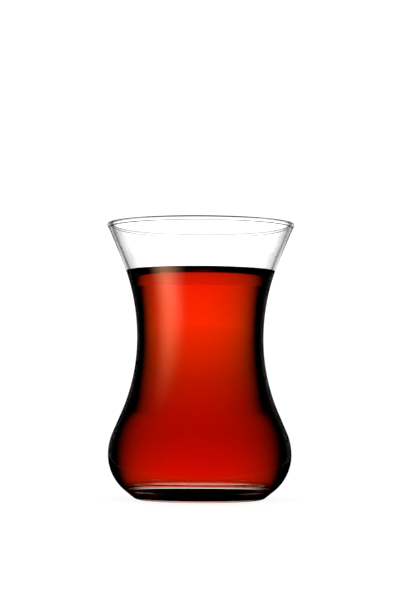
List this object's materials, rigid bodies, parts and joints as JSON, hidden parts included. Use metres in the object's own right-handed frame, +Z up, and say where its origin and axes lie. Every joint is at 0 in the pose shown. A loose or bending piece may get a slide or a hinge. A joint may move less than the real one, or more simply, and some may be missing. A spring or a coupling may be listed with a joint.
{
  "type": "turkish tea glass",
  "caption": "Tulip-shaped clear tea glass with a flat foot, round belly, narrow waist and flared mouth, holding deep red black tea up to below the lip",
  "frame": {"origin": "centre of the flat face under the foot", "axes": "+Z up along the axis of the glass, which is round about it; the picture looks along +Y with +X to its right"},
  "size_m": [0.057, 0.057, 0.084],
  "materials": {
    "glass": "clear pressed soda-lime glass, fire-polished and smooth",
    "tea": "clear black tea, bright red where thin and near black where thick"
  },
  "bodies": {
    "root": {"glass": "glass", "tea": "tea"}
  },
  "joints": []
}
